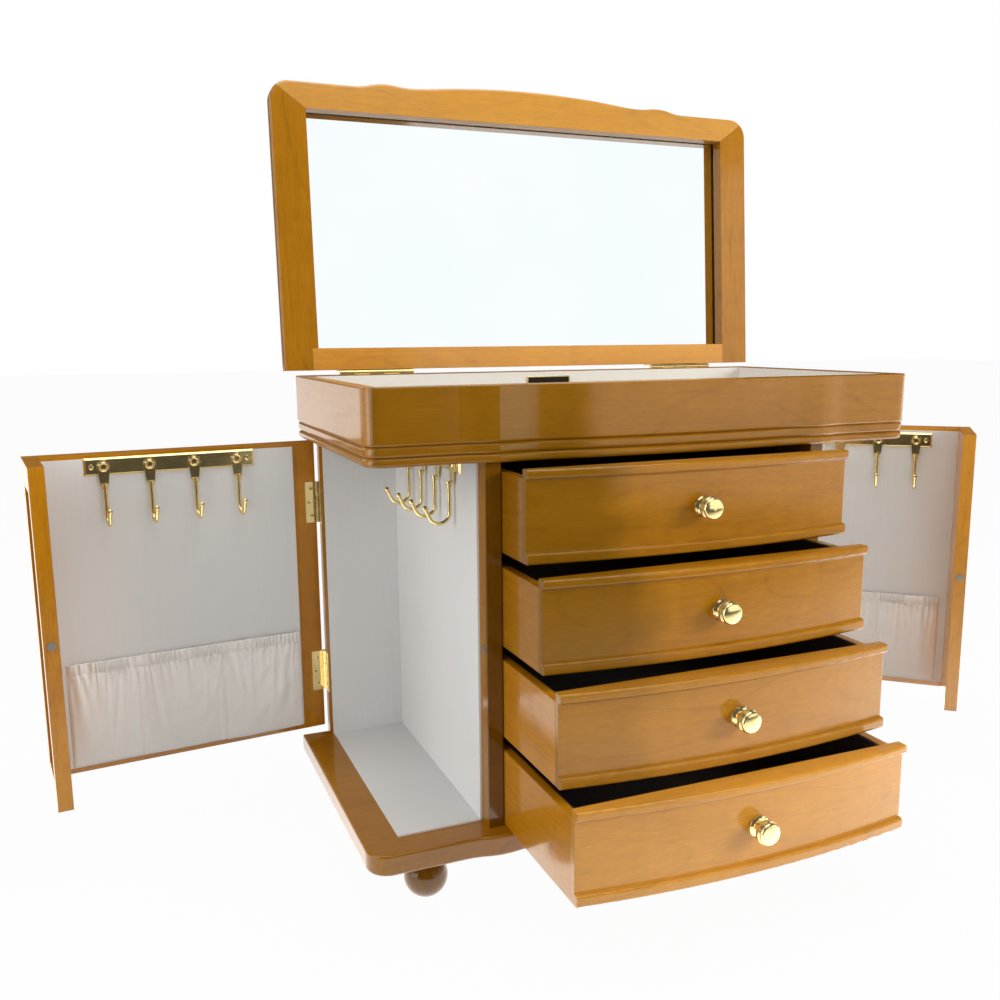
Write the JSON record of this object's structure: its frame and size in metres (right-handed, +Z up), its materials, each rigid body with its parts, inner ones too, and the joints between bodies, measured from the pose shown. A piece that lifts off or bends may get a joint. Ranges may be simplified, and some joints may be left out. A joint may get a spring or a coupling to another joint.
{
  "type": "jewelry cabinet",
  "caption": "Maple jewelry cabinet on ball feet with mirror lid, lined tray, bow-front drawers and two L-shaped side doors over lined compartments with hooks.",
  "frame": {"origin": "the middle of the flat under the front left foot, on the surface that the cabinet stands on", "axes": "+X to the viewer's right, +Y to the back, +Z up"},
  "size_m": [0.6528, 0.3206, 0.4871],
  "materials": {
    "maple": "satin lacquer",
    "dark_board": "matt stain",
    "brass": "polished",
    "mirror": "mirror",
    "lining_cloth": "flocked",
    "pocket_cloth": "soft",
    "drawer_cloth": "flocked",
    "magnet": "satin"
  },
  "bodies": {
    "cabinet": {"back_panel": "maple", "base_plate": "maple", "compartment_lining_left": "lining_cloth", "compartment_lining_right": "lining_cloth", "door_hinge_leaves": "brass", "drawer_dividers": "dark_board", "feet": "maple", "housing_wall_left": "maple", "housing_wall_right": "maple", "post_magnets": "magnet", "ring_rolls": "lining_cloth", "tray_dividers": "lining_cloth", "tray_floor": "dark_board", "tray_frame": "maple", "tray_hinge_leaves": "brass", "tray_lining": "lining_cloth", "wall_hook_rail_left": "brass", "wall_hook_rail_right": "brass"},
    "lid": {"lid_bottom_rail": "maple", "lid_hinge_leaves": "brass", "lid_panel": "maple", "lid_stile_left": "maple", "lid_stile_right": "maple", "lid_top_rail": "maple", "mirror": "mirror"},
    "left_door": {"left_door_hinge_leaves": "brass", "left_door_hook_rail": "brass", "left_door_lining": "lining_cloth", "left_door_magnet": "magnet", "left_door_pocket": "pocket_cloth", "left_door_return_frame": "maple", "left_door_return_panel": "maple", "left_door_side_frame": "maple", "left_door_side_panel": "maple"},
    "right_door": {"right_door_hinge_leaves": "brass", "right_door_hook_rail": "brass", "right_door_lining": "lining_cloth", "right_door_magnet": "magnet", "right_door_pocket": "pocket_cloth", "right_door_return_frame": "maple", "right_door_return_panel": "maple", "right_door_side_frame": "maple", "right_door_side_panel": "maple"},
    "drawer_1": {"drawer_1_box": "maple", "drawer_1_front": "maple", "drawer_1_knob": "brass", "drawer_1_lining": "drawer_cloth"},
    "drawer_2": {"drawer_2_box": "maple", "drawer_2_front": "maple", "drawer_2_knob": "brass", "drawer_2_lining": "drawer_cloth"},
    "drawer_3": {"drawer_3_box": "maple", "drawer_3_front": "maple", "drawer_3_knob": "brass", "drawer_3_lining": "drawer_cloth"},
    "drawer_4": {"drawer_4_box": "maple", "drawer_4_front": "maple", "drawer_4_knob": "brass", "drawer_4_lining": "drawer_cloth"}
  },
  "joints": [
    {"name": "lid_hinge", "type": "hinge", "parent": "cabinet", "child": "lid", "pos_m": [0.1477, 0.17317, 0.291], "axis": [1, 0, 0], "range_deg": [0, 94]},
    {"name": "left_door_hinge", "type": "hinge", "parent": "cabinet", "child": "left_door", "pos_m": [-0.0183, 0.1716, 0.0422], "axis": [0, 0, 1], "range_deg": [-26.2, 83.8]},
    {"name": "right_door_hinge", "type": "hinge", "parent": "cabinet", "child": "right_door", "pos_m": [0.3137, 0.1716, 0.0422], "axis": [0, 0, 1], "range_deg": [-47.1, 62.9]},
    {"name": "drawer_1_slide", "type": "slide", "parent": "cabinet", "child": "drawer_1", "axis": [0, -1, 0], "range_m": [-0.035, 0.095]},
    {"name": "drawer_2_slide", "type": "slide", "parent": "cabinet", "child": "drawer_2", "axis": [0, -1, 0], "range_m": [-0.055, 0.075]},
    {"name": "drawer_3_slide", "type": "slide", "parent": "cabinet", "child": "drawer_3", "axis": [0, -1, 0], "range_m": [-0.075, 0.055]},
    {"name": "drawer_4_slide", "type": "slide", "parent": "cabinet", "child": "drawer_4", "axis": [0, -1, 0], "range_m": [-0.094, 0.036]}
  ]
}
